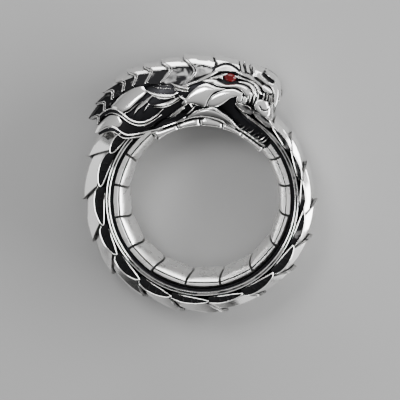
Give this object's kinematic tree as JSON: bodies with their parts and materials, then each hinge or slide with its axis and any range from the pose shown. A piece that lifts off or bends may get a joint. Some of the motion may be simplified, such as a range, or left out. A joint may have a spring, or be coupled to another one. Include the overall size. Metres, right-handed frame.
{
  "type": "dragon ring",
  "caption": "Finger ring shaped as a horned dragon that bites its own tail, with a scaled back, a plated belly round the finger hole, crest plates, whiskers and red stone eyes",
  "frame": {"origin": "the middle of the finger hole, half way through the band", "axes": "+Z along the axis of the finger hole, so the ring lies on its side; +Y from the hole's middle to the head; +X towards the side of the snout and the tail's tip"},
  "size_m": [0.0298, 0.0331, 0.009],
  "materials": {
    "polished_silver": "polished silver with darkened recesses",
    "blackened_silver": "oxidised, nearly black silver with rubbed high edges",
    "head_silver": "polished silver relief over a blackened ground",
    "red_stone": "clear deep red, faceted, with a table"
  },
  "bodies": {
    "root": {"back_scale_01": "polished_silver", "back_scale_02": "polished_silver", "back_scale_03": "polished_silver", "back_scale_04": "polished_silver", "back_scale_05": "polished_silver", "back_scale_06": "polished_silver", "back_scale_07": "polished_silver", "back_scale_08": "polished_silver", "back_scale_09": "polished_silver", "back_scale_10": "polished_silver", "back_scale_11": "polished_silver", "back_scale_12": "polished_silver", "back_scale_13": "polished_silver", "belly_plate_01": "polished_silver", "belly_plate_02": "polished_silver", "belly_plate_03": "polished_silver", "belly_plate_04": "polished_silver", "belly_plate_05": "polished_silver", "belly_plate_06": "polished_silver", "belly_plate_07": "polished_silver", "belly_plate_08": "polished_silver", "belly_plate_09": "polished_silver", "belly_plate_10": "polished_silver", "belly_plate_11": "polished_silver", "belly_plate_12": "polished_silver", "belly_plate_13": "polished_silver", "core_hoop": "blackened_silver", "crest_plate_1": "polished_silver", "crest_plate_2": "polished_silver", "crest_plate_3": "polished_silver", "crest_plate_4": "polished_silver", "crest_plate_5": "polished_silver", "crest_plate_6": "polished_silver", "crest_plate_7": "polished_silver", "crest_plate_8": "polished_silver", "eye_left": "red_stone", "eye_right": "red_stone", "head": "head_silver", "lower_jaw": "head_silver"}
  },
  "joints": []
}
